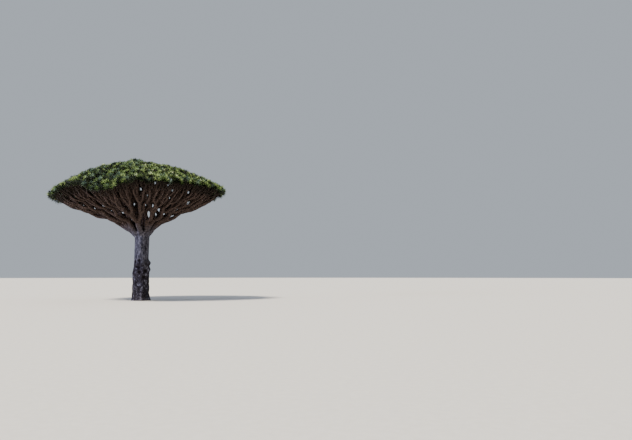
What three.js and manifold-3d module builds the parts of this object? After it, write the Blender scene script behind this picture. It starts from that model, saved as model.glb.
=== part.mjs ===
// A dragon blood tree: one stout trunk, a head of boughs that fork again and again, and a flat
// umbrella of stiff leaf rosettes on the last twigs. Millimetres, +Z up. The origin is the middle
// of the trunk's flat foot, on level ground, and the side in the photograph faces -Y.
//
// The crown has coordinates of its own. q is a place in the unit disc, as the crown is seen from
// above, and t runs from 0 at the boughs' common root to 1 at the leaves. Every limb serves one
// cell of the disc and heads for that cell's middle. At each fork the cell is cut in two across
// its length and each half gets a limb, so the tips spread evenly and no two limbs cross.

import * as THREE from "three";
import { mergeVertices } from "three/addons/utils/BufferGeometryUtils.js";
import Module from "manifold-3d";

// Crown
const ROOT = new THREE.Vector3(15, 0, 3320); // where the boughs' axes meet, inside the trunk's head
const CROWN_SHIFT = new THREE.Vector2(-170, 0); // the crown's middle stands this far off the root
const CROWN_RADIUS = 4390; // to the outermost twig tips, in the mean
const RIM_HEIGHT = 5740; // twig tips at the rim
const APEX_HEIGHT = 7430; // twig tips at the middle
const DOME_POWER = 2.3; // 2 is a paraboloid, more is flatter on top
const RIM_TILT = new THREE.Vector2(285, -100); // how the rim rises towards +X and +Y
const RIM_SADDLE = 160; // and how much higher it stands in front and behind than at the sides
const TILT_POWER = 2; // the tilt fades towards the middle
const CREST = { at: new THREE.Vector2(-0.05, -0.02), reach: 0.14, rise: 120 }; // a tuft on top
const RIM_WAVES = [
  { share: 0.025, times: 2, turn: 0.6 },
  { share: 0.02, times: 3, turn: 2.1 },
  { share: 0.012, times: 5, turn: 4.0 },
];
const RISE_POWER = 0.97; // under 1, a limb starts steep and flattens
const UPTURN = 1.3; // how far the outer limbs sag before their tips turn up
const UPTURN_POWER = 5; // more is nearer the tip

// Boughs: one upright in the middle and a ring round it
const RING_BOUGHS = 8;
const RING_TURN = 0.2; // the first ring cell's edge, in radians from +X
const RING_JITTER = 0.09; // how far a cell's edge may wander, in radians
const MIDDLE_SHARE = 0.4; // the middle cell's reach, as a share of the disc
const MIDDLE_FORKS = 3;

// Limbs, by generation: 0 for boughs, 1 for branches, 2 and more for twigs
const FORK_T = [0.17, 0.32, 0.46, 0.58, 1]; // where each generation ends
const STEM_T = 0.025; // a foliage mass takes over this far before its first fork
const LIMB_RADIUS = 172; // generation 0
const LIMB_THINNING = 0.76; // from one generation to the next
const MIDDLE_BOUGH_GAIN = 1.12;
const LIMB_TAPER = 0.12; // share of the radius lost between two forks
const LIMB_SINK = 0.5; // a limb starts this share of its parent's radius inside it
const FORK_SPREAD = 2.4; // over 1, limbs part quickly and then run side by side
const CUT_JITTER = 0.16; // how unevenly a cell is cut, and how far the cut turns
const GAP = 0.3; // clearance between solids that meet face to face
const LIMB_SIDES = [9, 6, 4, 3, 3];
const LIMB_STEPS = [3, 2, 1, 1, 2];
const SMOOTHING = 24; // edges shorter than this are closed up in a foliage mass
const PINCH = 0.05; // corners nearer than this that share no face are drawn apart
const PINCH_DRAW = 1;

// Trunk
const HEAD_TOP = 3790; // the trunk ends here, in the fork
const TRUNK_SIDES = 20;
const TRUNK_PROFILE = [
  // height, radius
  [0, 520],
  [90, 494],
  [260, 464],
  [600, 448],
  [1050, 450],
  [1400, 452],
  [1650, 436],
  [1830, 404],
  [2020, 398],
  [2250, 394],
  [2600, 382],
  [3000, 386],
  [3300, 393],
  [3500, 404],
  [3640, 438],
  [HEAD_TOP, 520],
];
const TRUNK_LEAN = 20; // the head stands this far towards +X of the foot
const TRUNK_BOW = 5; // and the middle bows this far the same way
const FOOT_LOBES = 5; // swellings of the root flare
const FOOT_LOBE_DEPTH = 0.07;
const FOOT_LOBE_HEIGHT = 380;
// Lips of old resin cuts: height, direction in degrees from +X, how far they stand out, size
const TRUNK_KNOBS = [
  { z: 2080, at: -10, out: 135, size: 170 },
  { z: 1740, at: -2, out: 85, size: 180 },
  { z: 1580, at: 196, out: 40, size: 190 },
  { z: 1990, at: 262, out: 38, size: 140 },
  { z: 1420, at: 100, out: 60, size: 190 },
];

// Leaf rosettes, each standing for a spray of the finer twigs that share its cell
const ROSETTE_BLADES = 6;
// Flat and steep blades in turn: the tip's distance from the rosette's axis, and above its hub
const BLADES = [
  { reach: 500, rise: 70 },
  { reach: 390, rise: 350 },
];
const HUB_RADIUS = 255; // where blades part
const HUB_RISE = 60;
const HUB_DEPTH = 200; // the rosette's root, sunk on the twig
const HUB_TOP = 130;
const BLADE_LEAST = 0.6; // a blade drawn in to less than this share is left out
const MASS_WALL = 12; // each mass keeps this far inside its own space

const BARK = { color: 0x6f6a68, roughness: 0.93, metalness: 0 };
const BOUGH = { color: 0x5a4b42, roughness: 0.9, metalness: 0 };
const LEAF = { color: 0x5c7038, roughness: 0.6, metalness: 0 };

const wasm = await Module();
wasm.setup();

// Seeded numbers from 0 to 1, the same on every run
function seeded(seed) {
  let state = seed >>> 0;
  return () => {
    state = (Math.imul(state, 1664525) + 1013904223) >>> 0;
    return state / 4294967296;
  };
}

// Crown coordinates

function crownRadius(angle) {
  const waves = RIM_WAVES.map((w) => w.share * Math.sin(w.times * angle + w.turn));
  return CROWN_RADIUS * (1 + waves.reduce((sum, w) => sum + w, 0));
}

function domeHeight(q) {
  const rho = Math.min(q.length(), 1.2);
  const dome = (APEX_HEIGHT - RIM_HEIGHT) * (1 - rho ** DOME_POWER);
  const crest = CREST.rise * Math.exp(-((q.distanceTo(CREST.at) / CREST.reach) ** 2));
  const rim = (RIM_TILT.dot(q) + RIM_SADDLE * q.y * q.y) * rho ** TILT_POWER;
  return RIM_HEIGHT + dome + rim + crest;
}

function crownPoint(q, t) {
  const reach = crownRadius(Math.atan2(q.y, q.x));
  const sag = UPTURN * q.lengthSq() * t ** UPTURN_POWER * (1 - t);
  return new THREE.Vector3(
    ROOT.x + (CROWN_SHIFT.x + q.x * reach) * t,
    ROOT.y + (CROWN_SHIFT.y + q.y * reach) * t,
    ROOT.z + (domeHeight(q) - ROOT.z) * (t ** RISE_POWER - sag),
  );
}

// The place in the disc of a point in space: t is found by halving, as height grows with t
function crownPlace(point) {
  let low = 0.02;
  let high = 1.6;
  const q = new THREE.Vector2();
  for (let step = 0; step < 30; step++) {
    const t = (low + high) / 2;
    q.set(
      (point.x - ROOT.x) / t - CROWN_SHIFT.x,
      (point.y - ROOT.y) / t - CROWN_SHIFT.y,
    );
    q.divideScalar(crownRadius(Math.atan2(q.y, q.x)));
    if (crownPoint(q, t).z < point.z) low = t;
    else high = t;
  }
  return { q, t: (low + high) / 2 };
}

// Cells of the disc: a convex outline, and the walls that cut it from its neighbours

function discCell() {
  const corners = 40;
  const outline = [];
  for (let i = 0; i < corners; i++) {
    const angle = (i / corners) * 2 * Math.PI;
    outline.push(new THREE.Vector2(Math.cos(angle), Math.sin(angle)));
  }
  return { outline, walls: [] };
}

// The part of a cell where normal.q is at least offset
function clipCell(cell, normal, offset) {
  const outline = [];
  cell.outline.forEach((a, i) => {
    const b = cell.outline[(i + 1) % cell.outline.length];
    const da = normal.dot(a) - offset;
    const db = normal.dot(b) - offset;
    if (da >= 0) outline.push(a.clone());
    if (da * db < 0) outline.push(a.clone().lerp(b, da / (da - db)));
  });
  return { outline, walls: [...cell.walls, { normal, offset }] };
}

function areaOf(outline) {
  const twice = outline.reduce((sum, a, i) => {
    const b = outline[(i + 1) % outline.length];
    return sum + a.cross(b);
  }, 0);
  return twice / 2;
}

function middleOf(outline) {
  const middle = new THREE.Vector2();
  outline.forEach((a, i) => {
    const b = outline[(i + 1) % outline.length];
    middle.addScaledVector(a.clone().add(b), a.cross(b));
  });
  return middle.divideScalar(6 * areaOf(outline));
}

// The direction in which an outline is longest
function lengthOf(outline, middle) {
  let xx = 0;
  let xy = 0;
  let yy = 0;
  outline.forEach((a, i) => {
    const b = outline[(i + 1) % outline.length];
    for (const share of [0.25, 0.75]) {
      const d = a.clone().lerp(b, share).sub(middle);
      const weight = a.distanceTo(b);
      xx += weight * d.x * d.x;
      xy += weight * d.x * d.y;
      yy += weight * d.y * d.y;
    }
  });
  return Math.atan2(2 * xy, xx - yy) / 2;
}

function cutInTwo(cell, random) {
  const middle = middleOf(cell.outline);
  const angle = lengthOf(cell.outline, middle) + (random() - 0.5) * 2 * CUT_JITTER;
  const normal = new THREE.Vector2(Math.cos(angle), Math.sin(angle));
  const size = Math.sqrt(Math.abs(areaOf(cell.outline)));
  const offset = normal.dot(middle) + (random() - 0.5) * CUT_JITTER * size;
  return [
    clipCell(cell, normal, offset),
    clipCell(cell, normal.clone().negate(), -offset),
  ];
}

// The wedge of a cell between two directions from the disc's middle, under half a turn apart
function wedgeOf(cell, from, to) {
  const start = clipCell(cell, new THREE.Vector2(-Math.sin(from), Math.cos(from)), 0);
  return clipCell(start, new THREE.Vector2(Math.sin(to), -Math.cos(to)), 0);
}

function keepsInside(cell, point) {
  const { q, t } = crownPlace(point);
  const margin = MASS_WALL / (CROWN_RADIUS * t);
  return cell.walls.every((w) => w.normal.dot(q) - w.offset > margin);
}

// Solids

function solidOf(geometry) {
  const bare = new THREE.BufferGeometry();
  bare.setAttribute("position", geometry.getAttribute("position"));
  bare.setIndex(geometry.getIndex());
  const merged = mergeVertices(bare, 1e-3);
  return new wasm.Manifold(
    new wasm.Mesh({
      numProp: 3,
      vertProperties: merged.attributes.position.array,
      triVerts: new Uint32Array(merged.index.array),
    }),
  );
}

function geometryOf(solid) {
  const mesh = solid.getMesh();
  drawPinchesApart(mesh.vertProperties, mesh.triVerts);
  const geometry = new THREE.BufferGeometry();
  geometry.setAttribute("position", new THREE.BufferAttribute(mesh.vertProperties, 3));
  geometry.setIndex(new THREE.BufferAttribute(mesh.triVerts, 1));
  return geometry;
}

// Where two corners of a surface touch without sharing a face, each is drawn back towards the
// corners round it
function drawPinchesApart(coordinates, corners) {
  const points = [];
  for (let i = 0; i < coordinates.length; i += 3) {
    points.push(new THREE.Vector3().fromArray(coordinates, i));
  }
  const order = points.map((_, i) => i).sort((a, b) => points[a].x - points[b].x);
  const pinched = new Set();
  order.forEach((a, k) => {
    for (let n = k + 1; n < order.length; n++) {
      const b = order[n];
      if (points[b].x - points[a].x > PINCH) break;
      if (points[a].distanceTo(points[b]) < PINCH) pinched.add(a).add(b);
    }
  });
  for (const i of pinched) {
    const inward = new THREE.Vector3();
    for (let f = 0; f < corners.length; f += 3) {
      const face = [corners[f], corners[f + 1], corners[f + 2]];
      if (face.includes(i)) face.forEach((c) => inward.add(points[c]).sub(points[i]));
    }
    points[i].clone().add(inward.setLength(PINCH_DRAW)).toArray(coordinates, 3 * i);
  }
}

// What lies in front of a plane, keep clear of it by half the gap
function inFront(solid, plane) {
  const offset = plane.normal.dot(plane.point) + GAP / 2;
  return solid.trimByPlane(plane.normal.toArray(), offset);
}

function behind(solid, plane) {
  return inFront(solid, { point: plane.point, normal: plane.normal.clone().negate() });
}

// A round tapering limb along stations of {point, radius}: a lathe whose rings are then carried
// to their stations
function limbSolid(stations, sides) {
  const last = stations.length - 1;
  const profile = [
    new THREE.Vector2(0, 0),
    ...stations.map((s, i) => new THREE.Vector2(s.radius, i)),
    new THREE.Vector2(0, last),
  ];
  const lathe = new THREE.LatheGeometry(profile, sides);
  const frames = [];
  let across = new THREE.Vector3(0.3, 1, 0.1);
  stations.forEach((station, i) => {
    const before = stations[Math.max(i - 1, 0)].point;
    const after = stations[Math.min(i + 1, last)].point;
    const along = after.clone().sub(before).normalize();
    across = across.clone().addScaledVector(along, -across.dot(along)).normalize();
    frames.push({ across, side: along.clone().cross(across) });
  });
  const place = lathe.getAttribute("position");
  for (let i = 0; i < place.count; i++) {
    const ring = Math.round(place.getY(i));
    const moved = stations[ring].point
      .clone()
      .addScaledVector(frames[ring].side, place.getX(i))
      .addScaledVector(frames[ring].across, place.getZ(i));
    place.setXYZ(i, moved.x, moved.y, moved.z);
  }
  return solidOf(lathe);
}

// Growth

// A limb runs from its parent's end to the middle of its own cell. It starts a little inside the
// parent, so that the two fuse or are cut by one plane.
function growLimb(parent, cell, generation, untilT, steps = LIMB_STEPS[generation]) {
  const q = middleOf(cell.outline);
  const radius = LIMB_RADIUS * LIMB_THINNING ** generation * (parent.gain ?? 1);
  const root = parent.point.clone().addScaledVector(parent.along, -parent.radius * LIMB_SINK);
  const stations = [{ point: root, radius }];
  for (let i = 1; i <= steps; i++) {
    const s = i / steps;
    const spread = 1 - (1 - s) ** FORK_SPREAD;
    const t = parent.t + (untilT - parent.t) * s;
    const point = crownPoint(parent.q.clone().lerp(q, spread), t);
    stations.push({ point, radius: radius * (1 - LIMB_TAPER * s) });
  }
  const last = stations[steps].point;
  const along = last.clone().sub(stations[steps - 1].point).normalize();
  return {
    cell,
    q,
    t: untilT,
    point: last,
    along,
    radius: stations[steps].radius,
    stations,
    sides: LIMB_SIDES[generation],
  };
}

// The plane half way between two limbs that leave one point, facing the first
function planeBetween(point, first, second) {
  const toFirst = first.point.clone().sub(point).normalize();
  const toSecond = second.point.clone().sub(point).normalize();
  return { point, normal: toFirst.sub(toSecond).normalize() };
}

function endOf(limb) {
  return { point: limb.point, normal: limb.along };
}

// What a limb's solid keeps on its own side of the limbs that leave the same point
function partedFrom(solid, limb, others, point) {
  return others
    .filter((other) => other !== limb)
    .reduce((left, other) => inFront(left, planeBetween(point, limb, other)), solid);
}

// Foliage

// A rosette of sword-shaped blades round an upright hub, as one star-shaped solid. Blades that
// would leave the mass's space are drawn in, or left out.
function rosetteSolid(centre, up, turn, cell) {
  const side = new THREE.Vector3(1, 0, 0).addScaledVector(up, -up.x).normalize();
  const front = up.clone().cross(side);
  const rimPoint = (angle, reach, rise) =>
    centre
      .clone()
      .addScaledVector(side, Math.cos(angle) * reach)
      .addScaledVector(front, Math.sin(angle) * reach)
      .addScaledVector(up, rise);
  const drawnIn = (angle, reach, rise, least) => {
    for (let share = 1; share >= least; share -= 0.08) {
      const at = rimPoint(angle, reach * share, rise * share);
      if (keepsInside(cell, at)) return at;
    }
    return null;
  };
  const rim = [];
  for (let i = 0; i < ROSETTE_BLADES; i++) {
    const angle = turn + (i / ROSETTE_BLADES) * 2 * Math.PI;
    const valley = drawnIn(angle, HUB_RADIUS, HUB_RISE, 0.2);
    if (!valley) return null;
    rim.push(valley);
    const tipAngle = angle + Math.PI / ROSETTE_BLADES;
    const { reach, rise } = BLADES[i % BLADES.length];
    const tip = drawnIn(tipAngle, reach, rise, BLADE_LEAST);
    if (tip) rim.push(tip);
  }
  const points = [
    centre.clone().addScaledVector(up, HUB_TOP),
    centre.clone().addScaledVector(up, -HUB_DEPTH),
    ...rim,
  ];
  const faces = [];
  rim.forEach((_, i) => {
    const here = 2 + i;
    const next = 2 + ((i + 1) % rim.length);
    faces.push(0, here, next, 1, next, here);
  });
  const geometry = new THREE.BufferGeometry().setFromPoints(points);
  geometry.setIndex(faces);
  return solidOf(geometry);
}

// The twigs and rosettes beyond a limb's end, as one list of solids
function growSprays(limb, generation, random, found) {
  if (generation === FORK_T.length) {
    const outward = new THREE.Vector3(limb.q.x, limb.q.y, 1.5).normalize();
    const up = outward.add(limb.along).normalize();
    const rosette = rosetteSolid(limb.point, up, random() * Math.PI, limb.cell.mass);
    if (rosette) found.push(rosette);
    return;
  }
  for (const half of cutInTwo(limb.cell, random)) {
    half.mass = limb.cell.mass;
    const twig = growLimb(limb, half, generation, FORK_T[generation]);
    found.push(limbSolid(twig.stations, twig.sides));
    growSprays(twig, generation + 1, random, found);
  }
}

// The largest closed body in a union: a loose scrap is dropped
function oneBody(solids) {
  const bodies = wasm.Manifold.union(solids).decompose();
  return bodies.reduce((most, body) => (body.volume() > most.volume() ? body : most));
}

function foliageMass(branch, seed) {
  const random = seeded(seed);
  const cell = { ...branch.cell, mass: branch.cell };
  const stem = growLimb(branch, cell, 1, FORK_T[1], 1);
  stem.radius = branch.radius;
  stem.stations.forEach((station) => {
    station.radius = branch.radius;
  });
  const solids = [limbSolid(stem.stations, stem.sides)];
  growSprays(stem, 2, random, solids);
  return inFront(oneBody(solids).asOriginal().simplify(SMOOTHING), endOf(branch));
}

// Trunk

function trunkSurface(x, y, z) {
  const angle = Math.atan2(y, x);
  const foot = Math.exp(-z / FOOT_LOBE_HEIGHT);
  let swell = 1 + FOOT_LOBE_DEPTH * foot * Math.cos(FOOT_LOBES * angle + 0.7);
  swell += 0.018 * Math.cos(3 * angle + z / 700) + 0.012 * Math.cos(7 * angle - z / 420);
  const radius = Math.hypot(x, y);
  let out = radius * swell;
  for (const knob of TRUNK_KNOBS) {
    const at = THREE.MathUtils.degToRad(knob.at);
    const off = Math.atan2(Math.sin(angle - at), Math.cos(angle - at)) * radius;
    out += knob.out * Math.exp(-(off ** 2 + (z - knob.z) ** 2) / (2 * (knob.size / 2) ** 2));
  }
  return [trunkAxis(z) + out * Math.cos(angle), out * Math.sin(angle), z];
}

function trunkAxis(z) {
  const share = z / HEAD_TOP;
  return TRUNK_LEAN * share + TRUNK_BOW * Math.sin(Math.PI * share);
}

function trunkSolid() {
  const rings = TRUNK_PROFILE.map(([z, radius]) => new THREE.Vector2(radius, z));
  const foot = new THREE.Vector2(0, 0);
  const head = new THREE.Vector2(0, HEAD_TOP);
  const lathe = new THREE.LatheGeometry([foot, ...rings, head], TRUNK_SIDES);
  const place = lathe.getAttribute("position");
  for (let i = 0; i < place.count; i++) {
    // The lathe turns about Y, so its height becomes Z
    const [x, z, y] = [place.getX(i), place.getY(i), -place.getZ(i)];
    const onAxis = Math.hypot(x, y) < 1e-6;
    place.setXYZ(i, ...(onAxis ? [trunkAxis(z), 0, z] : trunkSurface(x, y, z)));
  }
  return solidOf(lathe);
}

// The tree

const tree = new THREE.Group();

function addNode(name, solid, finish) {
  const mesh = new THREE.Mesh(geometryOf(solid), new THREE.MeshStandardMaterial(finish));
  mesh.name = name;
  tree.add(mesh);
}

// The disc's first cells: one in the middle, and wedges of what lies round it
function boughCells(random) {
  const edges = [];
  for (let i = 0; i < RING_BOUGHS; i++) {
    const even = RING_TURN + (i / RING_BOUGHS) * 2 * Math.PI;
    edges.push(even + (random() - 0.5) * 2 * RING_JITTER);
  }
  edges.push(edges[0] + 2 * Math.PI);
  let middle = discCell();
  const ring = [];
  for (let i = 0; i < RING_BOUGHS; i++) {
    const across = (edges[i] + edges[i + 1]) / 2;
    const normal = new THREE.Vector2(Math.cos(across), Math.sin(across));
    const wedge = wedgeOf(discCell(), edges[i], edges[i + 1]);
    ring.push(clipCell(wedge, normal, MIDDLE_SHARE));
    middle = clipCell(middle, normal.clone().negate(), -MIDDLE_SHARE);
  }
  return [middle, ...ring];
}

function branchCells(cell, isMiddle, random) {
  if (!isMiddle) return cutInTwo(cell, random);
  const turn = random() * Math.PI;
  const third = (2 * Math.PI) / MIDDLE_FORKS;
  return Array.from({ length: MIDDLE_FORKS }, (_, i) =>
    wedgeOf(cell, turn + i * third, turn + (i + 1) * third),
  );
}

function growTree() {
  const random = seeded(7);
  const headPlane = {
    point: new THREE.Vector3(0, 0, HEAD_TOP),
    normal: new THREE.Vector3(0, 0, 1),
  };
  const boughs = boughCells(random).map((cell, i) => {
    const q = middleOf(cell.outline);
    const along = crownPoint(q, FORK_T[0]).sub(ROOT).normalize();
    const gain = i === 0 ? MIDDLE_BOUGH_GAIN : 1;
    const root = { point: ROOT, along, q, t: 0, radius: LIMB_RADIUS, gain };
    return growLimb(root, cell, 0, FORK_T[0]);
  });
  const boughSolids = boughs.map((b) => limbSolid(b.stations, b.sides));
  const trunk = wasm.Manifold.union([trunkSolid(), ...boughSolids]);
  addNode("trunk", behind(trunk, headPlane), BARK);

  let branchNumber = 0;
  boughs.forEach((bough, i) => {
    const branches = branchCells(bough.cell, i === 0, random).map((cell) =>
      growLimb(bough, cell, 1, FORK_T[1] - STEM_T),
    );
    const branchSolids = branches.map((b) => limbSolid(b.stations, b.sides));
    const whole = wasm.Manifold.union([boughSolids[i], ...branchSolids]);
    const kept = partedFrom(behind(whole, endOf(bough)), bough, boughs, ROOT);
    addNode(`bough_${i + 1}`, inFront(kept, headPlane), BOUGH);
    branches.forEach((branch, k) => {
      branchNumber += 1;
      const clear = partedFrom(branchSolids[k], branch, branches, bough.point);
      const length = inFront(behind(clear, endOf(branch)), endOf(bough));
      addNode(`branch_${branchNumber}`, length, BOUGH);
      addNode(`foliage_${branchNumber}`, foliageMass(branch, 100 + branchNumber), LEAF);
    });
  });
}

growTree();

export default tree;
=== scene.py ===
# A dragon blood tree: bark over the trunk and the thick limbs, twigs that fork on from them to
# thousands of tips, and a rosette of stiff leaves on each tip.

import math

import bmesh
import bpy
import numpy as np
from mathutils import Matrix, Vector, noise


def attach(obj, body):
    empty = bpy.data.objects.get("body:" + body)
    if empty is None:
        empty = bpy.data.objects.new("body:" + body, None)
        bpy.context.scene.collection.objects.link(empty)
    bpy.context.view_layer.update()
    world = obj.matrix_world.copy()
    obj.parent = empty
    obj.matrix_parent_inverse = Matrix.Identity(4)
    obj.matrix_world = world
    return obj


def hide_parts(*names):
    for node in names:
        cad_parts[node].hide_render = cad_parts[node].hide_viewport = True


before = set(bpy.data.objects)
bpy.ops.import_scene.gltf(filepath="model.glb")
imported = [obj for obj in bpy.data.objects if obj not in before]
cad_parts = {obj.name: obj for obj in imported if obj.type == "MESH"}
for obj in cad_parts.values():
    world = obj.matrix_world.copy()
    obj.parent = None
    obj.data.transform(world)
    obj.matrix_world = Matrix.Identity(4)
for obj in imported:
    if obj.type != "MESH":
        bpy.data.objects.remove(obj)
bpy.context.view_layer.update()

# Crown, in metres. A place in it has a q in the unit disc, seen from above, and a t from 0 at
# the boughs' common root to 1 at the leaves.
ROOT = Vector((0.015, 0.0, 3.32))
CROWN_SHIFT = complex(-0.17, 0)
CROWN_RADIUS = 4.39
RIM_HEIGHT = 5.74
APEX_HEIGHT = 7.43
DOME_POWER = 2.3
RIM_TILT = complex(0.285, -0.1)
RIM_SADDLE = 0.16
TILT_POWER = 2
CREST_AT = complex(-0.045, -0.02)
CRESTS = ((0.2, 0.13), (0.07, 0.28))  # how far it reaches and rises: a swell, and a tuft on it
RIM_DROOPS = ((247, 10, 0.38), (222, 13, -0.16))  # direction and width in degrees, depth
RIM_WAVES = ((0.025, 2, 0.6), (0.02, 3, 2.1), (0.012, 5, 4.0))  # share, times, turn
RISE_POWER = 0.97
UPTURN = 1.3
UPTURN_POWER = 5
RIM_POWER = 6  # how quickly what only the rim has fades towards the middle

# Boughs and how they fork
TREE_SEED = 7
BRANCH_SEEDS = 100  # the first branch's twigs have the next number, and so on
RING_BOUGHS = 8
RING_TURN = 0.2
RING_JITTER = 0.09
MIDDLE_SHARE = 0.4
MIDDLE_FORKS = 3
FORK_T = (0.17, 0.32, 0.46, 0.58, 0.68, 0.8, 0.915, 0.955, 0.98, 1.0)  # where each generation ends
OWN_STREAM_FROM = 5  # finer generations draw their chances from a stream of their own
FIRST_TWIG = 2  # the generation from which limbs are twigs
CLUMP_GENERATION = 4  # the twigs of one such limb end in a clump of rosettes
CLUMP_PULL = 0.06  # how far they are drawn in towards its middle
CLUMP_RISE = 0.17  # how much higher its middle stands than its edge
CLUMP_LEAN = 0.9  # how far the rosettes at its edge lean out
LIMB_RADIUS = 0.172
LIMB_THINNING = (1, 0.8, 0.66, 0.54, 0.44, 0.36, 0.3, 0.2, 0.14, 0.1)  # radius by generation
MIDDLE_BOUGH_GAIN = 1.12
LIMB_TAPER = 0.12
LIMB_SINK = 0.5
FORK_SPREAD = 2.4
WANDER = ((0.075, 1.2), (0.035, 3.1))  # how far limbs stray, and bends per metre
WANDER_POWER = 0.7  # under 1, they stray soon after the root and until just before the leaves
WANDER_SEED = 17  # of 133 tried, the one that best leaves the ways for the sky open
CUT_JITTER = 0.16
LIMB_SIDES = (24, 20, 12, 10, 8, 7, 6, 5, 4, 3)
LIMB_STEPS = (8, 8, 6, 5, 4, 4, 4, 2, 1, 1)

# Ways through the crown by which the sky shows: across and up from the trunk's foot as seen
# from EYE, then half the width and half the height of the gap
EYE = Vector((0, -35.66, 1.42))
SKY_GAPS = (
    (0.352, 4.856, 0.015, 0.11), (0.866, 5.047, 0.02, 0.08), (0.75, 4.874, 0.015, 0.03),
    (0.537, 5.327, 0.03, 0.05), (-0.096, 6.232, 0.06, 0.06), (0.671, 6.62, 0.05, 0.05),
    (1.398, 6.537, 0.04, 0.04), (1.516, 6.83, 0.07, 0.07), (2.518, 6.134, 0.04, 0.04),
    (1.629, 6.227, 0.03, 0.03), (1.48, 5.778, 0.03, 0.03), (0.245, 5.861, 0.02, 0.02),
    (-0.444, 5.364, 0.03, 0.03), (0.191, 5.33, 0.02, 0.02), (2.528, 5.557, 0.02, 0.03),
    (1.658, 4.859, 0.015, 0.015), (1.196, 4.851, 0.01, 0.01), (-1.052, 4.861, 0.005, 0.005),
)
GAP_ROOM = 1.4  # a gap's room is this many times its half size and the limb's radius together
GAP_FADE = 3  # farther off than this many rooms, a limb stays where it is
GAP_CORE = 0.05  # and nearer than this many, it counts as this far off
GAP_WATCH = 0.35  # a limb that comes this near a gap's middle gets finer steps
GAP_STEPS = 3  # and this many times as many of them

# Where the far limbs stand together behind the near ones instead: across, up, reach
CLOSED_WAYS = ((-0.45, 4.35, 0.3), (-1.55, 4.95, 0.3), (-0.27, 4.95, 0.25), (-2.58, 5.19, 0.3))
CLOSED_PULL = 0.85  # the share of its distance from the way's middle that a limb gives up
CLOSED_BEHIND = 0.2  # for limbs farther back than this

# Trunk
HEAD_TOP = 3.79
TRUNK_PROFILE = (  # height, radius
    (0, 0.52), (0.09, 0.494), (0.26, 0.464), (0.6, 0.448), (1.05, 0.45), (1.4, 0.452),
    (1.65, 0.436), (1.83, 0.404), (2.02, 0.398), (2.25, 0.394), (2.6, 0.382), (3.0, 0.386),
    (3.3, 0.393), (3.5, 0.404), (3.64, 0.438), (3.79, 0.52),
)
TRUNK_LEAN = 0.02
TRUNK_BOW = 0.005
FOOT_LOBES = 5
FOOT_LOBE_TURN = 0.7
FOOT_LOBE_DEPTH = 0.07
FOOT_LOBE_HEIGHT = 0.38
TRUNK_FLUTES = ((0.018, 3, 0.7), (0.012, 7, -0.42))  # share, times round, metres to a radian
TRUNK_KNOBS = (  # height, direction in degrees, how far it stands out, size
    (2.08, -10, 0.135, 0.17), (1.74, -2, 0.085, 0.18), (1.58, 196, 0.04, 0.19),
    (1.99, 262, 0.038, 0.14), (1.42, 100, 0.06, 0.19),
)
# Hollows left by old resin cuts: height, direction in degrees, depth, size
TRUNK_HOLLOWS = (
    (2.22, 252, 0.07, 0.11), (2.14, 208, 0.08, 0.13), (1.83, 251, 0.07, 0.12),
    (1.86, 231, 0.06, 0.1), (1.56, 257, 0.06, 0.13), (1.3, 290, 0.04, 0.14),
    (1.63, 302, 0.05, 0.12), (2.0, 60, 0.07, 0.13), (1.6, 120, 0.05, 0.12), (1.9, 160, 0.06, 0.12),
    (1.7, 20, 0.06, 0.12),
)

# Bark over the trunk and the thick limbs: its mesh, and where its kinds begin
TRUNK_RINGS = 60
TRUNK_SIDES = 72
FOOT_OVERRUN = 0.1  # below the ground, where it is cut off flat at the end
HEAD_OVERRUN = 0.02
BARK_SQUARES = 0.02
SMOOTHINGS = 3
ROUGH_BELOW = 2.25  # height
RINGED_ABOVE = 3.6
BARK_FADE = 0.5
CUTS_FADE = (2.45, 2.0)  # heights between which the old cuts' colours come in
BROWN_FADE = (3.55, 4.25)  # and the boughs' brown
# Bumps per metre across and up, their depth, and how much deeper they are on the rough bark
FOLDS = (7, 0.9, 0.014, 0)
LUMPS = (4.5, 3.5, 0.012, 0.022)
PLATES = (17, 9, 0.004, 0.011)
RINGS = (9, 11, 0.012, 0)

TIP_DOME = ((0.55, 0.8), (0.85, 0.4))  # a twig's end: how far out and how wide, in its radius

# Leaf rosettes
LEAVES = 28  # in a rosette
YOUNG_SHARE = 0.6  # of them, above the old ones, whose dark tints are partly painted shade
BARE_TIPS = 0.05  # share of the twigs' tips that have lost their leaves
SPRAY_RISE = 1.5  # how much more the rosettes face up than out
SPRAY_OUT = (0.04, 0.12)  # how far a rosette's middle is past its twig's tip, and how unevenly
SPRAY_SIZES = (0.9, 0.2)  # the smallest, as a share, and what the largest has on top
RIM_LEAF_GAIN = 0.3  # how much longer the leaves are at the crown's rim
RIM_PUSH = 0.2  # how far the rosettes stand out there
RIM_LIFT = 0.15  # and how much of that also lifts them
SPRAY_CORE = 0.08  # what a rosette keeps clear of the ways for the sky
LEAF_LENGTH = 0.15
LENGTH_BY_TILT = (0.9, 0.1)  # the share of it that all leaves have, and what upright ones add
LENGTH_JITTER = 0.18
TILT_JITTER = 0.25
LEAF_WIDTH = 0.026
BASE_WIDTH = 0.8  # of that, at the leaf's base
LEAF_KEEL = 0.3  # depth of the channel along a leaf, as a share of its width
LEAF_ARCH = 0.009  # how far its middle bows up
LEAF_DROOP = (0.014, 0.02)  # how far its tip hangs down, and how unevenly
LEAF_BASE = (0.012, 0.04)  # out from the twig's axis, and down it from the first leaf to the last
GOLDEN_ANGLE = 2.39996  # from one leaf to the next
STEEPEST = math.radians(6)  # the innermost leaf's angle from the rosette's axis
FLATTEST = math.radians(106)

# How the tints are dealt out
SPRAY_SEED = 2024
CHANCE_SHARE = 0.85
PAINTED_LIGHT_SHARE = 0.15  # more for a rosette in the middle of its clump, as painted light on the clump's top
PAINTED_LIGHT_REACH = 0.6
PAINTED_SHADE_AT = complex(-0.52, -0.76)  # the low lobe of the rim, whose rosettes get darker tints as painted shade
PAINTED_SHADE_REACH = 0.36
PAINTED_SHADE_SHARE = 0.22
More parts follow.
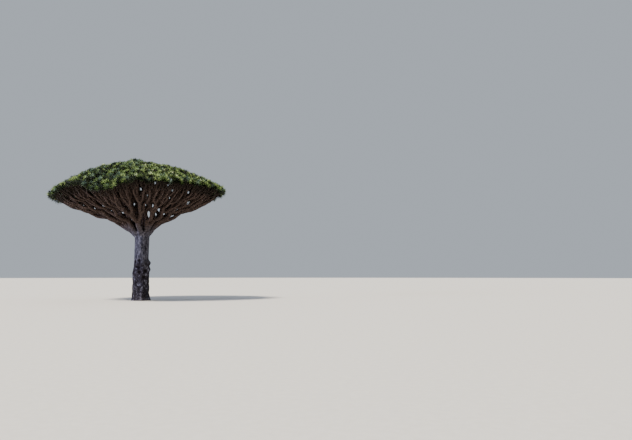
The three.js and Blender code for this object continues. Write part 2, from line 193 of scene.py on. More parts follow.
# Rosettes in the hollows between clumps lean to the dark tints and those on top of a clump to the
# bright ones, as painted shade and painted light over tints dealt out by chance, and the old
# leaves below are darker than the young ones above, as older leaves and as painted shade under
# each rosette
TINTS = (  # up to this share, name, colours
    (0.34, "leaves_deep", "#070a06", "#10180c", "#212e15"),
    (0.54, "leaves_green", "#25331f", "#465a2e", "#6c8345"),
    (0.65, "leaves_grey", "#2b3a30", "#4d6453", "#7c8f79"),
    (0.88, "leaves_bright", "#4e623a", "#788e52", "#a5b674"),
    (1.0, "leaves_pale", "#80905c", "#b6c690", "#d6debb"),
)
OLD_AND_SHADED_TINTS = (  # the old leaves' names and colours, dealt out by spray: darker as older leaves, and as painted shade under the young ones
    ("old_shaded_leaves_deep", "#060804", "#0c1408", "#192410"),
    ("old_shaded_leaves_green", "#0d150a", "#1d2a13", "#334321"),
)

# The boughs' brown and its shade among the finest twigs
BOUGH_BROWN = ("#1d1513", "#342925", "#5b4c46")
SHADED_BROWN = ("#15100d", "#27201c", "#413934")

# Floor and camera. The camera stands at EYE, with the tree left of the middle of its view
FLOOR_RADIUS = 260
FLOOR_SIDES = 96
CAMERA_YAW = 15.87  # degrees to the right of the tree
CAMERA_PITCH = 5.1
CAMERA_LENS = 34.97  # millimetres, on a sensor 36 wide
SENSOR_WIDTH = 36


def seeded(seed):
    state = seed & 0xFFFFFFFF

    def chance():
        nonlocal state
        state = (state * 1664525 + 1013904223) & 0xFFFFFFFF
        return state / 4294967296

    return chance


# Crown places


def dot(a, b):
    return a.real * b.real + a.imag * b.imag


def cross(a, b):
    return a.real * b.imag - a.imag * b.real


def crown_radius(angle):
    return CROWN_RADIUS * (1 + sum(s * math.sin(n * angle + turn) for s, n, turn in RIM_WAVES))


def dome_height(q):
    rho = min(abs(q), 1.2)
    dome = (APEX_HEIGHT - RIM_HEIGHT) * (1 - rho**DOME_POWER)
    off = abs(q - CREST_AT)
    crest = sum(rise * math.exp(-((off / reach) ** 2)) for reach, rise in CRESTS)
    rim = (dot(RIM_TILT, q) + RIM_SADDLE * q.imag**2) * rho**TILT_POWER
    for direction, width, depth in RIM_DROOPS:
        turn = (math.degrees(math.atan2(q.imag, q.real)) - direction + 180) % 360 - 180
        rim -= depth * math.exp(-((turn / width) ** 2)) * rho**RIM_POWER
    return RIM_HEIGHT + dome + rim + crest


def crown_point(q, t):
    reach = crown_radius(math.atan2(q.imag, q.real))
    sag = UPTURN * abs(q) ** 2 * t**UPTURN_POWER * (1 - t)
    flat = (CROWN_SHIFT + q * reach) * t
    rise = (dome_height(q) - ROOT.z) * (t**RISE_POWER - sag)
    return Vector((ROOT.x + flat.real, ROOT.y + flat.imag, ROOT.z + rise))


def wander(point, t):
    """Crookedness: none at the root and at the leaves, and alike for limbs that meet."""
    strays = (noise.noise_vector(point * bends) * far for far, bends in WANDER)
    return sum(strays, Vector()) * math.sin(math.pi * min(t, 1)) ** WANDER_POWER


def off_sight(point, across, up):
    """How far across and up a point lies from a line of sight."""
    toward = Vector((across, 0, up)) - EYE
    on_line = EYE + toward * ((point.y - EYE.y) / toward.y)
    return point.x - on_line.x, point.z - on_line.z


def nears_gap(point, reach):
    return any(
        math.hypot(*off_sight(point, across, up)) < reach for across, up, *_ in SKY_GAPS
    )


def clear_gaps(point, radius):
    """A limb's place moved out of the sky gaps, and into the closed ways."""
    moved = point.copy()
    for across, up, half_width, half_height in SKY_GAPS:
        side, rise = off_sight(moved, across, up)
        room = GAP_ROOM * Vector((half_width + radius, half_height + radius))
        off = math.hypot(side / room.x, rise / room.y)
        if off < GAP_FADE:
            away = (off**3 + 1) ** (1 / 3) / max(off, GAP_CORE) - 1
            moved += Vector((side * away, 0, rise * away))
    for across, up, reach in CLOSED_WAYS:
        side, rise = off_sight(moved, across, up)
        if point.y > CLOSED_BEHIND:
            near = math.exp(-((side / reach) ** 2) - (rise / reach) ** 2)
            moved.x -= CLOSED_PULL * side * near
    return moved


def blocks_gap(centre, radius):
    for across, up, half_width, half_height in SKY_GAPS:
        side, rise = off_sight(centre, across, up)
        if math.hypot(side / (half_width + radius), rise / (half_height + radius)) < 1:
            return True
    return False


# Cells of the disc, each the outline of what one limb serves


def disc_cell():
    return [complex(math.cos(a), math.sin(a)) for a in (i / 40 * math.tau for i in range(40))]


def clip_cell(cell, normal, offset):
    kept = []
    for a, b in zip(cell, cell[1:] + cell[:1]):
        da, db = dot(normal, a) - offset, dot(normal, b) - offset
        if da >= 0:
            kept.append(a)
        if da * db < 0:
            kept.append(a + (b - a) * da / (da - db))
    return kept


def area_of(cell):
    return sum(cross(a, b) for a, b in zip(cell, cell[1:] + cell[:1])) / 2


def middle_of(cell):
    total = sum((a + b) * cross(a, b) for a, b in zip(cell, cell[1:] + cell[:1]))
    return total / (6 * area_of(cell))


def length_of(cell, middle):
    xx = xy = yy = 0.0
    for a, b in zip(cell, cell[1:] + cell[:1]):
        for share in (0.25, 0.75):
            d = a + (b - a) * share - middle
            weight = abs(b - a)
            xx += weight * d.real * d.real
            xy += weight * d.real * d.imag
            yy += weight * d.imag * d.imag
    return math.atan2(2 * xy, xx - yy) / 2


def cut_in_two(cell, chance):
    middle = middle_of(cell)
    angle = length_of(cell, middle) + (chance() - 0.5) * 2 * CUT_JITTER
    normal = complex(math.cos(angle), math.sin(angle))
    size = math.sqrt(abs(area_of(cell)))
    offset = dot(normal, middle) + (chance() - 0.5) * CUT_JITTER * size
    return clip_cell(cell, normal, offset), clip_cell(cell, -normal, -offset)


def wedge_of(cell, start, end):
    cut = clip_cell(cell, complex(-math.sin(start), math.cos(start)), 0)
    return clip_cell(cut, complex(math.sin(end), -math.cos(end)), 0)


def bough_cells(chance):
    edges = [
        RING_TURN + i / RING_BOUGHS * math.tau + (chance() - 0.5) * 2 * RING_JITTER
        for i in range(RING_BOUGHS)
    ]
    edges.append(edges[0] + math.tau)
    middle = disc_cell()
    ring = []
    for start, end in zip(edges, edges[1:]):
        across = (start + end) / 2
        normal = complex(math.cos(across), math.sin(across))
        ring.append(clip_cell(wedge_of(disc_cell(), start, end), normal, MIDDLE_SHARE))
        middle = clip_cell(middle, -normal, -MIDDLE_SHARE)
    return [middle, *ring]


def branch_cells(cell, is_middle, chance):
    if not is_middle:
        return cut_in_two(cell, chance)
    turn = chance() * math.pi
    third = math.tau / MIDDLE_FORKS
    return [wedge_of(cell, turn + i * third, turn + (i + 1) * third) for i in range(MIDDLE_FORKS)]


# Limbs


class Limb:
    """One tapering length between two forks: stations of (point, radius) along it."""

    def __init__(self, parent, cell, generation):
        self.cell = cell
        self.q = middle_of(cell)
        self.generation = generation
        self.t = FORK_T[generation]
        radius = LIMB_RADIUS * LIMB_THINNING[generation] * parent.gain
        if generation <= CLUMP_GENERATION:
            self.clump = (self.q, math.sqrt(area_of(cell)))
        else:
            self.clump = parent.clump
        root = parent.point - parent.along * parent.radius * LIMB_SINK
        self.stations = [(root, radius)]
        steps = LIMB_STEPS[generation]
        if any(nears_gap(self.path(parent, s), GAP_WATCH) for s in (0.5, 1)):
            steps *= GAP_STEPS
        for i in range(1, steps + 1):
            here = radius * (1 - LIMB_TAPER * i / steps)
            self.stations.append((clear_gaps(self.path(parent, i / steps), here), here))
        self.point, self.radius = self.stations[-1]
        self.along = (self.point - self.stations[-2][0]).normalized()
        self.gain = 1

    def path(self, parent, s):
        """Its place at a share s of its length, before the gaps are cleared."""
        spread = 1 - (1 - s) ** FORK_SPREAD
        q = parent.q + (self.q - parent.q) * spread
        t = parent.t + (self.t - parent.t) * s
        drawn, lift = self.into_clump(q, t)
        point = crown_point(drawn, t) + Vector((0, 0, lift))
        return point + wander(point, t)

    def into_clump(self, q, t):
        """The place drawn in towards the clump's middle, and how much it is lifted."""
        if self.generation <= CLUMP_GENERATION:
            return q, 0
        middle, size = self.clump
        late = max(0.0, (t - FORK_T[CLUMP_GENERATION]) / (1 - FORK_T[CLUMP_GENERATION]))
        edge = abs(q - middle) / size
        return q + (middle - q) * CLUMP_PULL * late, CLUMP_RISE * late**2 * (0.5 - 2 * edge**2)


class Root:
    """Where the boughs start, inside the trunk's head."""

    def __init__(self, cell, gain):
        self.q = middle_of(cell)
        self.point, self.t, self.radius, self.gain = ROOT, 0, LIMB_RADIUS, gain
        self.along = (crown_point(self.q, FORK_T[0]) - ROOT).normalized()


def grow_twigs(limb, chance, limbs):
    generation = limb.generation + 1
    if generation == len(FORK_T):
        return
    if generation == OWN_STREAM_FROM:
        chance = seeded(int(chance() * 4294967296))
    for half in cut_in_two(limb.cell, chance):
        twig = Limb(limb, half, generation)
        limbs.append(twig)
        grow_twigs(twig, chance, limbs)


def grow_tree():
    noise.seed_set(WANDER_SEED)
    chance = seeded(TREE_SEED)
    limbs = []
    branches = []
    for i, cell in enumerate(bough_cells(chance)):
        bough = Limb(Root(cell, MIDDLE_BOUGH_GAIN if i == 0 else 1), cell, 0)
        limbs.append(bough)
        for part in branch_cells(cell, i == 0, chance):
            branches.append(Limb(bough, part, 1))
    limbs += branches
    for number, branch in enumerate(branches, 1):
        grow_twigs(branch, seeded(BRANCH_SEEDS + number), limbs)
    return limbs


# Trunk


def trunk_axis(z):
    share = z / HEAD_TOP
    return TRUNK_LEAN * share + TRUNK_BOW * math.sin(math.pi * share)


def trunk_radius(angle, z):
    heights, radii = zip(*TRUNK_PROFILE)
    radius = float(np.interp(z, heights, radii))
    foot = math.exp(-max(z, 0) / FOOT_LOBE_HEIGHT)
    swell = 1 + FOOT_LOBE_DEPTH * foot * math.cos(FOOT_LOBES * angle + FOOT_LOBE_TURN)
    swell += sum(s * math.cos(n * angle + z / twist) for s, n, twist in TRUNK_FLUTES)
    out = radius * swell
    for height, degrees, rise, size in TRUNK_KNOBS:
        out += rise * spot(angle, z, radius, height, degrees, size)
    for height, degrees, depth, size in TRUNK_HOLLOWS:
        out -= depth * spot(angle, z, radius, height, degrees, size)
    return out


def hollow_share(angle, z, radius):
    """0 on plain bark and 1 in the middle of a hollow."""
    spots = (spot(angle, z, radius, high, turn, size) for high, turn, _, size in TRUNK_HOLLOWS)
    return max(spots)


def spot(angle, z, radius, height, degrees, size):
    turn = angle - math.radians(degrees)
    off = math.atan2(math.sin(turn), math.cos(turn)) * radius
    return math.exp(-(off**2 + (z - height) ** 2) / (2 * (size / 2) ** 2))


# Meshes


def add_piece(name, mesh, material, nodes):
    piece = bpy.data.objects.new(name, mesh)
    bpy.context.scene.collection.objects.link(piece)
    mesh.materials.clear()
    mesh.materials.append(material)
    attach(piece, "root")
    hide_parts(*nodes)
    return piece


def ring_matrices(stations):
    """A frame for each station, square to the limb and scaled to its radius."""
    points = [point for point, _ in stations]
    across = Vector((0.3, 1, 0.1))
    made = []
    for i, (point, radius) in enumerate(stations):
        along = (points[min(i + 1, len(points) - 1)] - points[max(i - 1, 0)]).normalized()
        across = (across - along * across.dot(along)).normalized()
        side = along.cross(across)
        turn = Matrix((side, across, -along)).transposed().to_4x4()
        scale = Matrix.Diagonal((radius, radius, radius, 1))
        made.append(Matrix.Translation(point) @ turn @ scale)
    return made


def extrude_tube(bm, frames, sides):
    """A closed tube, pulled ring by ring through the frames."""
    ring = bmesh.ops.create_circle(bm, cap_ends=True, segments=sides, radius=1, matrix=frames[0])
    face = ring["verts"][0].link_faces[0]
    for before, after in zip(frames, frames[1:]):
        pulled = bmesh.ops.extrude_face_region(bm, geom=[face])["geom"]
        face = next(f for f in pulled if isinstance(f, bmesh.types.BMFace))
        step = after @ before.inverted()
        bmesh.ops.transform(bm, matrix=step, verts=face.verts)


def voxel_skin(bm, voxel):
    """One closed skin over everything in the bmesh, in squares of the voxel's size."""
    rough = bpy.data.meshes.new("rough")
    bm.to_mesh(rough)
    carrier = bpy.data.objects.new("carrier", rough)
    bpy.context.scene.collection.objects.link(carrier)
    skin = carrier.modifiers.new("skin", "REMESH")
    skin.mode = "VOXEL"
    skin.voxel_size = voxel
    evaluated = carrier.evaluated_get(bpy.context.evaluated_depsgraph_get())
    mesh = bpy.data.meshes.new_from_object(evaluated)
    bpy.data.objects.remove(carrier)
    bpy.data.meshes.remove(rough)
    return mesh


def bumps(point, kind, rough):
    x, y, z = point
    across, up, depth, deeper = kind
    return noise.noise(Vector((x * across, y * across, z * up))) * (depth + deeper * rough)


def bark_relief(point):
    """How far the bark stands out: long folds on the trunk, lumps and plates that are deeper
    near its foot, and rings round the boughs."""
    rough = max(0.0, min(1.0, (ROUGH_BELOW - point.z) / BARK_FADE))
    ringed = max(0.0, min(1.0, (point.z - RINGED_ABOVE) / BARK_FADE))
    folds = bumps(point, FOLDS, rough) * (1 - ringed)
    lumps, plates = bumps(point, LUMPS, rough), bumps(point, PLATES, rough)
    return folds + lumps + plates + bumps(point, RINGS, rough) * ringed


def make_bark(limbs):
    bm = bmesh.new()
    heights = np.linspace(-FOOT_OVERRUN, HEAD_TOP + HEAD_OVERRUN, TRUNK_RINGS)
    extrude_tube(bm, [Matrix.Translation((0, 0, z)) for z in heights], TRUNK_SIDES)
    for v in bm.verts:
        z = v.co.z
        angle = math.atan2(v.co.y, v.co.x)
        radius = trunk_radius(angle, z)
        v.co = (trunk_axis(z) + radius * math.cos(angle), radius * math.sin(angle), z)
    for limb in limbs:
        extrude_tube(bm, ring_matrices(limb.stations), LIMB_SIDES[limb.generation])
    bmesh.ops.recalc_face_normals(bm, faces=bm.faces)
    mesh = voxel_skin(bm, BARK_SQUARES)
    bm.free()

    bm = bmesh.new()
    bm.from_mesh(mesh)
    for _ in range(SMOOTHINGS):
        bmesh.ops.smooth_vert(
            bm, verts=bm.verts, factor=0.5, use_axis_x=True, use_axis_y=True, use_axis_z=True
        )
    bm.normal_update()
    moves = [v.normal * bark_relief(v.co) for v in bm.verts]
    for v, move in zip(bm.verts, moves):
        v.co += move
    cut = bmesh.ops.bisect_plane(
        bm, geom=bm.verts[:] + bm.edges[:] + bm.faces[:], plane_co=(0, 0, 0),
        plane_no=(0, 0, -1), clear_outer=True,
    )
    rim = [e for e in cut["geom_cut"] if isinstance(e, bmesh.types.BMEdge)]
    bmesh.ops.contextual_create(bm, geom=rim)
    bmesh.ops.triangulate(bm, faces=[f for f in bm.faces if len(f.verts) > 4])
    bm.to_mesh(mesh)
    bm.free()
    mesh.shade_smooth()
    mesh.name = "trunk_and_boughs"
    shares = []
    for v in mesh.vertices:
        x, y, z = v.co
        x -= trunk_axis(z)
        shares.append(hollow_share(math.atan2(y, x), z, math.hypot(x, y)) if z < HEAD_TOP else 0)
    hollows = mesh.attributes.new("hollow", "FLOAT", "POINT")
    hollows.data.foreach_set("value", shares)
    return mesh


def joined_mesh(name, parts):
    """One mesh from many (points, triangles) arrays."""
    counts = np.cumsum([0] + [len(points) for points, _ in parts])
    points = np.concatenate([points for points, _ in parts]).astype(np.float32)
    faces = np.concatenate([faces + start for (_, faces), start in zip(parts, counts)])
    mesh = bpy.data.meshes.new(name)
    mesh.vertices.add(len(points))
    mesh.vertices.foreach_set("co", points.ravel())
    mesh.loops.add(faces.size)
    mesh.loops.foreach_set("vertex_index", faces.ravel().astype(np.int32))
    mesh.polygons.add(len(faces))
    mesh.polygons.foreach_set("loop_start", np.arange(len(faces), dtype=np.int32) * 3)
    mesh.update(calc_edges=True)
    mesh.validate()
    return mesh


def tube_arrays(stations, sides):
    """A closed tube with a rounded tip, as points and triangles."""
    tip, radius = stations[-1]
    along = (tip - stations[-2][0]).normalized()
    dome = [(tip + along * radius * out, radius * wide) for out, wide in TIP_DOME]
    frames = ring_matrices(list(stations) + dome)
    angles = np.arange(sides) / sides * math.tau
    circle = np.stack([np.cos(angles), np.sin(angles), 0 * angles, 0 * angles + 1])
    rings = [(np.array(m) @ circle)[:3].T for m in frames]
    ends = [[stations[0][0][:]], [(tip + along * radius)[:]]]
    points = np.concatenate(rings + ends)
    here = np.arange(sides)
    beside = (here + 1) % sides
    faces = []
    for i in range(len(rings) - 1):
        low, high = i * sides, (i + 1) * sides
        faces.append(np.stack([low + here, high + here, high + beside], axis=1))
        faces.append(np.stack([low + here, high + beside, low + beside], axis=1))
    root, end = len(points) - 2, len(points) - 1
    last = (len(rings) - 1) * sides
    faces.append(np.stack([np.full(sides, root), here, beside], axis=1))
    faces.append(np.stack([np.full(sides, end), last + beside, last + here], axis=1))
    return points, np.concatenate(faces)


def rosette_arrays(centre, up, size, chance):
    """Leaves all round a twig's tip, each a keeled blade of five triangles: the young ones
    above, then the old ones below."""
    side = up.orthogonal().normalized()
    front = up.cross(side)
    axes = np.array([side, front, up])
    turn = chance() * math.tau
    order = (np.arange(LEAVES) + 0.5) / LEAVES
    around = turn + np.arange(LEAVES) * GOLDEN_ANGLE
    jitter = np.array([[chance() - 0.5 for _ in range(LEAVES)] for _ in range(3)])
    cosines = np.cos(STEEPEST) + (np.cos(FLATTEST) - np.cos(STEEPEST)) * order
    tilt = np.arccos(cosines) + jitter[0] * TILT_JITTER
    share = LENGTH_BY_TILT[0] + LENGTH_BY_TILT[1] * np.cos(tilt)
    length = LEAF_LENGTH * size * share * (1 + LENGTH_JITTER * jitter[1])
    outward = np.stack([np.cos(around), np.sin(around), 0 * around], axis=1)
    across = np.stack([-np.sin(around), np.cos(around), 0 * around], axis=1)
    upward = np.array([0, 0, 1.0])
    along = outward * np.sin(tilt)[:, None] + upward * np.cos(tilt)[:, None]
    face = upward * np.sin(tilt)[:, None] - outward * np.cos(tilt)[:, None]
    base = along * LEAF_BASE[0] - upward * (order[:, None] * LEAF_BASE[1])
    middle = base + along * (length * 0.5)[:, None] + face * LEAF_ARCH
    droop = LEAF_DROOP[0] + LEAF_DROOP[1] * jitter[2]
    tip = base + along * length[:, None] - face * droop[:, None]
    half = across * LEAF_WIDTH / 2
    foot = half * BASE_WIDTH
    keel = face * LEAF_WIDTH * LEAF_KEEL
    points = np.stack(
        [base - foot, base + foot, middle - half, middle - keel, middle + half, tip], axis=1
    )
    placed = points @ axes + np.array(centre)
    faces = np.array([[0, 3, 1], [0, 2, 3], [1, 3, 4], [2, 5, 3], [3, 5, 4]])
    parts = []
    for kept in (placed[order < YOUNG_SHARE], placed[order >= YOUNG_SHARE]):
        every = faces[None] + 6 * np.arange(len(kept))[:, None, None]
        parts.append((kept.reshape(-1, 3), every.reshape(-1, 3)))
    return parts


def tint_of(limb, off_middle, chance):
    """Which of the tints the rosette on a limb's tip has: mostly by chance, leaning to the
    brighter ones near its clump's middle as painted light, and to the darker ones on the low lobe
    as painted shade.
    """
    # Painted light and shade: a rosette near its clump's middle leans to the brighter tints, one
    # at its edge to the darker ones
    inner = max(0.0, 1 - abs(off_middle) / PAINTED_LIGHT_REACH)
    # Painted shade: the low lobe's rosettes lean to the dark tints
    off_dark = abs(limb.q - PAINTED_SHADE_AT) / PAINTED_SHADE_REACH
    low = PAINTED_SHADE_SHARE * math.exp(-(off_dark**2))
    share = CHANCE_SHARE * chance() + PAINTED_LIGHT_SHARE * inner - low
    return next(i for i, (top, *_) in enumerate(TINTS) if share < top)


def leaf_sprays(twigs, chance):
    """A rosette on each tip that has its leaves: the young ones by tint, and the old ones, whose
    dark tints are partly painted shade.
    """
    young_sprays = [[] for _ in TINTS]
    old_and_shaded_sprays = [[] for _ in OLD_AND_SHADED_TINTS]
    for limb in twigs:
        if limb.generation == len(FORK_T) - 1 and chance() >= BARE_TIPS:
            middle, clump_size = limb.clump
            off_middle = (limb.q - middle) / clump_size
            facing = limb.q + off_middle * CLUMP_LEAN
            outward = Vector((facing.real, facing.imag, SPRAY_RISE)).normalized()
            up = (outward + limb.along).normalized()
            tint = tint_of(limb, off_middle, chance)
            rim = min(1.0, abs(limb.q)) ** RIM_POWER
            centre = limb.point + Vector((limb.q.real, limb.q.imag, RIM_LIFT)) * RIM_PUSH * rim
            centre += up * (SPRAY_OUT[0] + SPRAY_OUT[1] * (chance() - 0.5))
            size = (1 + RIM_LEAF_GAIN * rim) * (SPRAY_SIZES[0] + SPRAY_SIZES[1] * chance())
            if not blocks_gap(centre, SPRAY_CORE):
                young, old = rosette_arrays(centre, up, size, chance)
                young_sprays[tint].append(young)
                # The old leaves below take the dark old tints: older leaves, and painted shade
                # under the young ones
                old_and_shaded_sprays[len(old_and_shaded_sprays[0]) > len(old_and_shaded_sprays[1])].append(old)
    return young_sprays, old_and_shaded_sprays


# Materials


def linear(hex_colour):
    """An sRGB hex colour as the shader's linear one."""
    parts = [int(hex_colour[i : i + 2], 16) / 255 for i in (1, 3, 5)]
    return [p / 12.92 if p <= 0.04045 else ((p + 0.055) / 1.055) ** 2.4 for p in parts] + [1]


def per_metre(millimetres):
    """A noise texture's scale for features of this size."""
    return 1000 / millimetres


def new_material(name):
    material = bpy.data.materials.new(name)
    material.use_nodes = True
    material.node_tree.nodes.clear()
    return material


def add_node(material, kind, settings=None, links=None):
    """A node with its settings, which are its own properties, its sockets' values or a colour
    ramp's stops, and with links from other nodes' sockets."""
    made = material.node_tree.nodes.new(kind)
    for key, value in (settings or {}).items():
        if key == "stops":
            elements = made.color_ramp.elements
            for _ in value[2:]:
                elements.new(0.5)
            for element, (position, colour) in zip(elements, value):
                element.position = position
                element.color = linear(colour) if isinstance(colour, str) else [colour] * 3 + [1]
        elif isinstance(key, str) and hasattr(made, key):
            setattr(made, key, value)
        else:
            made.inputs[key].default_value = value
    for key, socket in (links or {}).items():
        material.node_tree.links.new(socket, made.inputs[key])
    return made


def weathered_bark():
    """Dead cork of an old dragon blood tree, worn grey by sun and wind. It is dry and quite matt,
    so what the eye sees is its colour: pale streaks down the upper trunk with specks of lichen,
    dark blotches near the foot where resin was cut from it, and brown on the boughs."""
    bark = new_material("weathered_bark")
    place = add_node(bark, "ShaderNodeTexCoord").outputs["Object"]
    height = add_node(bark, "ShaderNodeSeparateXYZ", links={0: place}).outputs["Z"]

    # Streaks 70 mm wide and four times as long
    long = add_node(bark, "ShaderNodeMapping", {"Scale": (1, 1, 0.25)}, {"Vector": place})
    streaks = add_node(
        bark, "ShaderNodeTexNoise",
        {"Scale": per_metre(70), "Detail": 5, "Roughness": 0.75},
        {"Vector": long.outputs["Vector"]},
    ).outputs["Fac"]
    grey = add_node(
        bark, "ShaderNodeValToRGB",
        {"stops": [(0.4, "#14141c"), (0.5, "#373742"), (0.6, "#696772")]}, {"Fac": streaks},
    )
    # Lichen grows in specks of about 15 mm, drawn 45 mm wide so that they show
    specks = add_node(
        bark, "ShaderNodeTexNoise",
        {"Scale": per_metre(45), "Detail": 2, "Roughness": 0.5}, {"Vector": place},
    )
    speck_share = add_node(
        bark, "ShaderNodeValToRGB", {"stops": [(0.62, 0.0), (0.7, 0.75)]},
        {"Fac": specks.outputs["Fac"]},
    )
    specked = add_node(
        bark, "ShaderNodeMix", {"data_type": "RGBA", 7: linear("#9d9ba1")},
        {0: speck_share.outputs["Color"], 6: grey.outputs["Color"]},
    )
    # Old cuts and bare patches of 150 mm, a little taller than wide
    tall = add_node(bark, "ShaderNodeMapping", {"Scale": (1, 1, 0.7)}, {"Vector": place})
    blotches = add_node(
        bark, "ShaderNodeTexNoise",
        {"Scale": per_metre(150), "Detail": 7, "Roughness": 0.72, "Distortion": 0.4},
        {"Vector": tall.outputs["Vector"]},
    )
    cut = add_node(
        bark, "ShaderNodeValToRGB",
        {"stops": [(0.45, "#0d0506"), (0.54, "#2e2930"), (0.63, "#7a7883")]},
        {"Fac": blotches.outputs["Fac"]},
    )
    low = add_node(
        bark, "ShaderNodeMapRange",
        {"From Min": CUTS_FADE[0], "From Max": CUTS_FADE[1], "To Min": 0.15, "To Max": 0.85},
        {"Value": height},
    )
    trunk = add_node(
        bark, "ShaderNodeMix", {"data_type": "RGBA"},
        {0: low.outputs["Result"], 6: specked.outputs[2], 7: cut.outputs["Color"]},
    )
    # The hollows are darkened nearly to black
    hollow = add_node(bark, "ShaderNodeAttribute", {"attribute_name": "hollow"})
    hollow_darkening = add_node(
        bark, "ShaderNodeMapRange",
        {"From Min": 0.2, "From Max": 0.55, "To Min": 0.0, "To Max": 0.95},
        {"Value": hollow.outputs["Fac"]},
    )
    hollows_darkened = add_node(
        bark, "ShaderNodeMix", {"data_type": "RGBA", 7: linear("#0a0405")},
        {0: hollow_darkening.outputs["Result"], 6: trunk.outputs[2]},
    )
    # Brown of the boughs in patches of 60 mm
    patches = add_node(
        bark, "ShaderNodeTexNoise",
        {"Scale": per_metre(60), "Detail": 4, "Roughness": 0.65}, {"Vector": place},
    )
    brown = add_node(
        bark, "ShaderNodeValToRGB",
        {"stops": list(zip((0.3, 0.5, 0.7), BOUGH_BROWN))}, {"Fac": patches.outputs["Fac"]},
    )
    high = add_node(
        bark, "ShaderNodeMapRange", {"From Min": BROWN_FADE[0], "From Max": BROWN_FADE[1]},
        {"Value": height},
    )
    colour = add_node(
        bark, "ShaderNodeMix", {"data_type": "RGBA"},
        {0: high.outputs["Result"], 6: hollows_darkened.outputs[2], 7: brown.outputs["Color"]},
    )
    rough = add_node(
        bark, "ShaderNodeMapRange",
        {"From Min": 0.3, "From Max": 0.7, "To Min": 0.96, "To Max": 0.82}, {"Value": streaks},
    )
    # Cork plates 26 mm wide and three times as tall
    plates = add_node(bark, "ShaderNodeMapping", {"Scale": (1, 1, 0.35)}, {"Vector": place})
    cracks = add_node(
        bark, "ShaderNodeTexNoise",
        {"Scale": per_metre(26), "Detail": 6, "Roughness": 0.7},
        {"Vector": plates.outputs["Vector"]},
    )
    relief = add_node(
        bark, "ShaderNodeBump", {"Strength": 0.7, "Distance": 0.02},
        {"Height": cracks.outputs["Fac"]},
    )
    shader = add_node(
        bark, "ShaderNodeBsdfPrincipled", {"IOR": 1.45, "Specular IOR Level": 0.15},
        {"Base Color": colour.outputs[2], "Roughness": rough.outputs["Result"],
         "Normal": relief.outputs["Normal"]},
    )
    add_node(bark, "ShaderNodeOutputMaterial", links={"Surface": shader.outputs["BSDF"]})
    return bark


def ringed_bark(name, dark, mid, light):
    """Young bark, papery and dry, ringed by the scars of shed leaves. It is matt and brownish
    grey, and mottled where the scars have kept or lost their skin."""
    bark = new_material(name)
    place = add_node(bark, "ShaderNodeTexCoord").outputs["Object"]
    # Scars are 20 mm apart, and their mottling is drawn 60 mm wide so that it shows
    mottling = add_node(
        bark, "ShaderNodeTexNoise",
        {"Scale": per_metre(60), "Detail": 4, "Roughness": 0.65}, {"Vector": place},
    ).outputs["Fac"]
    colour = add_node(
        bark, "ShaderNodeValToRGB", {"stops": [(0.32, dark), (0.5, mid), (0.68, light)]},
        {"Fac": mottling},
    )
    rough = add_node(
        bark, "ShaderNodeMapRange",
        {"From Min": 0.3, "From Max": 0.7, "To Min": 0.95, "To Max": 0.8}, {"Value": mottling},
    )
    scars = add_node(
        bark, "ShaderNodeTexNoise",
        {"Scale": per_metre(20), "Detail": 4, "Roughness": 0.6}, {"Vector": place},
    )
    relief = add_node(
        bark, "ShaderNodeBump", {"Strength": 0.5, "Distance": 0.01},
        {"Height": scars.outputs["Fac"]},
    )
    shader = add_node(
        bark, "ShaderNodeBsdfPrincipled", {"IOR": 1.45, "Specular IOR Level": 0.15},
        {"Base Color": colour.outputs["Color"], "Roughness": rough.outputs["Result"],
         "Normal": relief.outputs["Normal"]},
    )
    add_node(bark, "ShaderNodeOutputMaterial", links={"Surface": shader.outputs["BSDF"]})
    return bark


def sword_leaf(name, dark, mid, light):
    """A stiff, leathery leaf under a thin bloom of wax: satin, with soft pale glints where it
    faces the light, and a little uneven in its green."""
    leaf = new_material(name)
    place = add_node(leaf, "ShaderNodeTexCoord").outputs["Object"]
    # The green changes every 70 mm, which is half a leaf's length
    tone = add_node(
        leaf, "ShaderNodeTexNoise",
        {"Scale": per_metre(70), "Detail": 3, "Roughness": 0.6}, {"Vector": place},
    ).outputs["Fac"]
    green = add_node(
        leaf, "ShaderNodeValToRGB", {"stops": [(0.34, dark), (0.5, mid), (0.66, light)]},
        {"Fac": tone},
    )
    rough = add_node(
        leaf, "ShaderNodeMapRange",
        {"From Min": 0.3, "From Max": 0.7, "To Min": 0.42, "To Max": 0.6}, {"Value": tone},
    )
    # Veins 2 mm apart are drawn as an 8 mm grain
    veins = add_node(
        leaf, "ShaderNodeTexNoise", {"Scale": per_metre(8), "Detail": 2}, {"Vector": place},
    )
    relief = add_node(
        leaf, "ShaderNodeBump", {"Strength": 0.2, "Distance": 0.004},
        {"Height": veins.outputs["Fac"]},
    )
    shader = add_node(
        leaf, "ShaderNodeBsdfPrincipled", {"IOR": 1.45, "Specular IOR Level": 0.2},
        {"Base Color": green.outputs["Color"], "Roughness": rough.outputs["Result"],
         "Normal": relief.outputs["Normal"]},
    )
    add_node(leaf, "ShaderNodeOutputMaterial", links={"Surface": shader.outputs["BSDF"]})
    return leaf


# The tree

limbs = grow_tree()
thick = [limb for limb in limbs if limb.generation < FIRST_TWIG]
twigs = [limb for limb in limbs if limb.generation >= FIRST_TWIG]
masses = [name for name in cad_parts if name.startswith("foliage")]
wood = [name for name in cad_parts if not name.startswith("foliage")]

add_piece("trunk_and_boughs", make_bark(thick), weathered_bark(), wood)

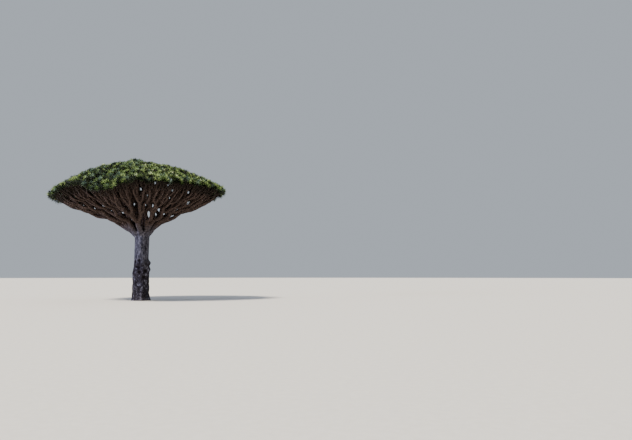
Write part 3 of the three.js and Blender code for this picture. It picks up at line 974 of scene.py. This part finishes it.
forking_bark = ringed_bark("ringed_bark", *BOUGH_BROWN)
tip_bark = ringed_bark("shaded_ringed_bark", *SHADED_BROWN)
for name, generations, bark in (
    ("twigs", range(FIRST_TWIG, 7), forking_bark),
    ("twig_forks", range(7, 9), tip_bark),
    ("twig_tips", range(9, 10), tip_bark),
):
    fine = [limb for limb in twigs if limb.generation in generations]
    tubes = [tube_arrays(limb.stations, LIMB_SIDES[limb.generation]) for limb in fine]
    mesh = joined_mesh(name, tubes)
    mesh.shade_smooth()
    add_piece(name, mesh, bark, masses)

young_sprays, old_and_shaded_sprays = leaf_sprays(twigs, seeded(SPRAY_SEED))
leaf_kinds = [tint[1:] for tint in TINTS] + list(OLD_AND_SHADED_TINTS)
for (name, *greens), parts in zip(leaf_kinds, young_sprays + old_and_shaded_sprays):
    add_piece(name, joined_mesh(name, parts), sword_leaf(name, *greens), masses)


# Floor, light and camera


def pale_plaster():
    """Plaster, floated smooth and left matt: a pale floor with a barely mottled tone."""
    plaster = new_material("pale_plaster")
    place = add_node(plaster, "ShaderNodeTexCoord").outputs["Object"]
    # Float marks of 120 mm
    marks = add_node(
        plaster, "ShaderNodeTexNoise", {"Scale": per_metre(120), "Detail": 3}, {"Vector": place},
    )
    tone = add_node(
        plaster, "ShaderNodeValToRGB", {"stops": [(0.3, "#cdcbc6"), (0.7, "#d3d1cc")]},
        {"Fac": marks.outputs["Fac"]},
    )
    shader = add_node(
        plaster, "ShaderNodeBsdfPrincipled", {"Roughness": 0.9},
        {"Base Color": tone.outputs["Color"]},
    )
    add_node(plaster, "ShaderNodeOutputMaterial", links={"Surface": shader.outputs["BSDF"]})
    return plaster


bm = bmesh.new()
bmesh.ops.create_circle(bm, cap_ends=True, segments=FLOOR_SIDES, radius=FLOOR_RADIUS)
floor_mesh = bpy.data.meshes.new("floor")
bm.to_mesh(floor_mesh)
bm.free()
floor = bpy.data.objects.new("floor", floor_mesh)
floor_mesh.materials.append(pale_plaster())
bpy.context.scene.collection.objects.link(floor)

world = bpy.data.worlds.new("studio")
world.use_nodes = True
world.node_tree.nodes["Background"].inputs["Color"].default_value = linear("#c9d2dc")
world.node_tree.nodes["Background"].inputs["Strength"].default_value = 0.75
bpy.context.scene.world = world


def add_sun(name, direction, strength, spread, colour):
    lamp = bpy.data.lights.new(name, "SUN")
    lamp.energy = strength
    lamp.angle = math.radians(spread)
    lamp.color = linear(colour)[:3]
    sun = bpy.data.objects.new(name, lamp)
    sun.rotation_euler = Vector(direction).to_track_quat("Z", "Y").to_euler()
    bpy.context.scene.collection.objects.link(sun)


add_sun("key", (-0.5, -0.42, 0.85), 7.4, 10, "#fff4e2")
add_sun("side", (-1, -0.3, 0.08), 5.8, 30, "#cfd7ff")

lens = bpy.data.cameras.new("camera")
lens.sensor_width = SENSOR_WIDTH
lens.lens = CAMERA_LENS
camera = bpy.data.objects.new("camera", lens)
camera.location = EYE
camera.rotation_euler = (math.radians(90 + CAMERA_PITCH), 0, math.radians(-CAMERA_YAW))
bpy.context.scene.collection.objects.link(camera)
bpy.context.scene.camera = camera
